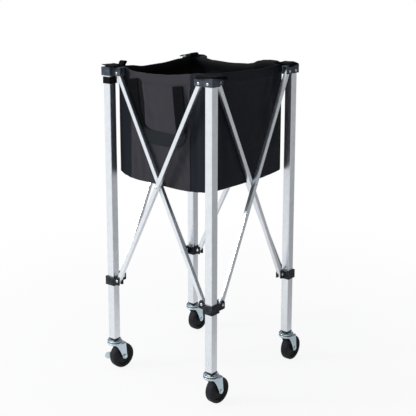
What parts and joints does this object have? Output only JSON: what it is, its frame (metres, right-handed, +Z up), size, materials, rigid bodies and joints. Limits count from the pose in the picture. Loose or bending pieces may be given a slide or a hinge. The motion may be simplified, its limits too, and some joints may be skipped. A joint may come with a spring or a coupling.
{
  "type": "folding ball cart",
  "caption": "Tall folding cart on swivel casters: square legs joined by crossed braces hold an open square fabric bag with webbing handles.",
  "frame": {"origin": "on the floor, under the middle of the cart's bounding box", "axes": "+Z up, -Y is the front (the side with the handle that faces the viewer on the left), +X to the right of it"},
  "size_m": [0.4204, 0.4586, 0.9399],
  "materials": {
    "aluminium_tube": "bright satin anodised",
    "zinc_steel": "bright zinc plated, slightly bluish",
    "black_plastic": "moulded, faint sheen",
    "wheel_rubber": "matt black-grey",
    "bag_fabric": "black coated nylon with a soft sheen",
    "webbing": "woven black webbing"
  },
  "bodies": {
    "leg_front_left": {"leg_front_left": "aluminium_tube", "top_bracket_front_left": "black_plastic", "leg_plug_front_left": "black_plastic", "caster_stem_front_left": "zinc_steel", "corner_tab_front_left": "bag_fabric", "tie_strap": "webbing", "bag": "bag_fabric", "handle_front": "webbing", "handle_back": "webbing"},
    "leg_front_right": {"leg_front_right": "aluminium_tube", "top_bracket_front_right": "black_plastic", "leg_plug_front_right": "black_plastic", "caster_stem_front_right": "zinc_steel", "corner_tab_front_right": "bag_fabric"},
    "leg_back_right": {"leg_back_right": "aluminium_tube", "top_bracket_back_right": "black_plastic", "leg_plug_back_right": "black_plastic", "caster_stem_back_right": "zinc_steel", "corner_tab_back_right": "bag_fabric"},
    "leg_back_left": {"leg_back_left": "aluminium_tube", "top_bracket_back_left": "black_plastic", "leg_plug_back_left": "black_plastic", "caster_stem_back_left": "zinc_steel", "corner_tab_back_left": "bag_fabric"},
    "brace_front_outer": {"brace_front_outer": "aluminium_tube", "centre_rivet_front": "zinc_steel"},
    "brace_front_inner": {"brace_front_inner": "aluminium_tube"},
    "brace_right_outer": {"brace_right_outer": "aluminium_tube", "centre_rivet_right": "zinc_steel"},
    "brace_right_inner": {"brace_right_inner": "aluminium_tube"},
    "brace_back_outer": {"brace_back_outer": "aluminium_tube", "centre_rivet_back": "zinc_steel"},
    "brace_back_inner": {"brace_back_inner": "aluminium_tube"},
    "brace_left_outer": {"brace_left_outer": "aluminium_tube", "centre_rivet_left": "zinc_steel"},
    "brace_left_inner": {"brace_left_inner": "aluminium_tube"},
    "slider_front_right": {"slider_front_right": "black_plastic"},
    "slider_back_right": {"slider_back_right": "black_plastic"},
    "slider_back_left": {"slider_back_left": "black_plastic"},
    "slider_front_left": {"slider_front_left": "black_plastic"},
    "caster_front_right": {"caster_fork_front_right": "zinc_steel", "axle_front_right": "zinc_steel"},
    "wheel_front_right": {"wheel_front_right": "wheel_rubber"},
    "caster_back_right": {"caster_fork_back_right": "zinc_steel", "axle_back_right": "zinc_steel"},
    "wheel_back_right": {"wheel_back_right": "wheel_rubber"},
    "caster_back_left": {"caster_fork_back_left": "zinc_steel", "axle_back_left": "zinc_steel"},
    "wheel_back_left": {"wheel_back_left": "wheel_rubber"},
    "caster_front_left": {"caster_fork_front_left": "zinc_steel", "axle_front_left": "zinc_steel"},
    "wheel_front_left": {"wheel_front_left": "wheel_rubber"},
    "brake_lever": {"brake_lever": "zinc_steel"}
  },
  "joints": [
    {"name": "fold", "type": "hinge", "parent": "leg_front_left", "child": "brace_front_inner", "pos_m": [-0.15359, -0.20228, 0.91], "axis": [0, 1, 0], "range_deg": [0, 21], "deforming": ["bag", "handle_front", "handle_back"]},
    {"name": "front_crossing", "type": "hinge", "parent": "brace_front_inner", "child": "brace_front_outer", "pos_m": [0.00166, -0.20883, 0.601], "axis": [0, 1, 0], "range_deg": [-42, 0]},
    {"name": "front_right_top", "type": "hinge", "parent": "brace_front_outer", "child": "leg_front_right", "pos_m": [0.15691, -0.21538, 0.91], "axis": [0, 1, 0], "range_deg": [0, 21]},
    {"name": "front_right_slider", "type": "hinge", "parent": "brace_front_inner", "child": "slider_front_right", "pos_m": [0.15691, -0.20228, 0.292], "axis": [0, 1, 0], "range_deg": [-21, 0]},
    {"name": "front_left_slider", "type": "hinge", "parent": "brace_front_outer", "child": "slider_front_left", "pos_m": [-0.15359, -0.21538, 0.292], "axis": [0, 1, 0], "range_deg": [0, 21]},
    {"name": "left_top", "type": "hinge", "parent": "leg_front_left", "child": "brace_left_outer", "pos_m": [-0.19289, -0.17608, 0.91], "axis": [1, 0, 0], "range_deg": [-21, 0]},
    {"name": "left_crossing", "type": "hinge", "parent": "brace_left_outer", "child": "brace_left_inner", "pos_m": [-0.18634, -0.02083, 0.601], "axis": [1, 0, 0], "range_deg": [0, 42]},
    {"name": "back_left_top", "type": "hinge", "parent": "brace_left_inner", "child": "leg_back_left", "pos_m": [-0.17979, 0.13442, 0.91], "axis": [1, 0, 0], "range_deg": [-21, 0]},
    {"name": "back_left_slider", "type": "hinge", "parent": "brace_left_outer", "child": "slider_back_left", "pos_m": [-0.19289, 0.13442, 0.292], "axis": [1, 0, 0], "range_deg": [0, 21]},
    {"name": "right_top", "type": "hinge", "parent": "leg_front_right", "child": "brace_right_inner", "pos_m": [0.18311, -0.17608, 0.91], "axis": [-1, 0, 0], "range_deg": [0, 21]},
    {"name": "right_crossing", "type": "hinge", "parent": "brace_right_inner", "child": "brace_right_outer", "pos_m": [0.18966, -0.02083, 0.601], "axis": [-1, 0, 0], "range_deg": [-42, 0]},
    {"name": "back_right_top", "type": "hinge", "parent": "brace_right_outer", "child": "leg_back_right", "pos_m": [0.19621, 0.13442, 0.91], "axis": [-1, 0, 0], "range_deg": [0, 21]},
    {"name": "back_right_slider", "type": "hinge", "parent": "brace_right_inner", "child": "slider_back_right", "pos_m": [0.18311, 0.13442, 0.292], "axis": [-1, 0, 0], "range_deg": [-21, 0]},
    {"name": "back_inner_top", "type": "hinge", "parent": "leg_back_right", "child": "brace_back_inner", "pos_m": [0.15691, 0.16062, 0.91], "axis": [0, -1, 0], "range_deg": [0, 21]},
    {"name": "back_outer_top", "type": "hinge", "parent": "leg_back_left", "child": "brace_back_outer", "pos_m": [-0.15359, 0.17372, 0.91], "axis": [0, -1, 0], "range_deg": [-21, 0]},
    {"name": "swivel_front_right", "type": "hinge", "parent": "leg_front_right", "child": "caster_front_right", "pos_m": [0.18816, -0.20733, 0.085], "axis": [0, 0, 1], "continuous": true},
    {"name": "roll_front_right", "type": "hinge", "parent": "caster_front_right", "child": "wheel_front_right", "pos_m": [0.18994, -0.18189, 0.0381], "axis": [0.9976, -0.0698, 0], "continuous": true},
    {"name": "swivel_back_right", "type": "hinge", "parent": "leg_back_right", "child": "caster_back_right", "pos_m": [0.18816, 0.16567, 0.085], "axis": [0, 0, 1], "continuous": true},
    {"name": "roll_back_right", "type": "hinge", "parent": "caster_back_right", "child": "wheel_back_right", "pos_m": [0.18816, 0.19117, 0.0381], "axis": [1, 0, 0], "continuous": true},
    {"name": "swivel_back_left", "type": "hinge", "parent": "leg_back_left", "child": "caster_back_left", "pos_m": [-0.18484, 0.16567, 0.085], "axis": [0, 0, 1], "continuous": true},
    {"name": "roll_back_left", "type": "hinge", "parent": "caster_back_left", "child": "wheel_back_left", "pos_m": [-0.18484, 0.19117, 0.0381], "axis": [1, 0, 0], "continuous": true},
    {"name": "swivel_front_left", "type": "hinge", "parent": "leg_front_left", "child": "caster_front_left", "pos_m": [-0.18484, -0.20733, 0.085], "axis": [0, 0, 1], "continuous": true},
    {"name": "roll_front_left", "type": "hinge", "parent": "caster_front_left", "child": "wheel_front_left", "pos_m": [-0.18085, -0.18214, 0.0381], "axis": [0.9877, -0.1564, 0], "continuous": true},
    {"name": "brake", "type": "hinge", "parent": "caster_front_left", "child": "brake_lever", "pos_m": [-0.18085, -0.18214, 0.0381], "axis": [0.9877, -0.1564, 0], "range_deg": [0, 30]}
  ],
  "couplings": [
    {"joint": "front_crossing", "follows": "fold", "ratio": -2},
    {"joint": "front_right_top", "follows": "fold", "ratio": 1},
    {"joint": "front_right_slider", "follows": "fold", "ratio": -1},
    {"joint": "front_left_slider", "follows": "fold", "ratio": 1},
    {"joint": "left_top", "follows": "fold", "ratio": -1},
    {"joint": "left_crossing", "follows": "fold", "ratio": 2},
    {"joint": "back_left_top", "follows": "fold", "ratio": -1},
    {"joint": "back_left_slider", "follows": "fold", "ratio": 1},
    {"joint": "right_top", "follows": "fold", "ratio": 1},
    {"joint": "right_crossing", "follows": "fold", "ratio": -2},
    {"joint": "back_right_top", "follows": "fold", "ratio": 1},
    {"joint": "back_right_slider", "follows": "fold", "ratio": -1},
    {"joint": "back_inner_top", "follows": "fold", "ratio": 1},
    {"joint": "back_outer_top", "follows": "fold", "ratio": -1}
  ]
}
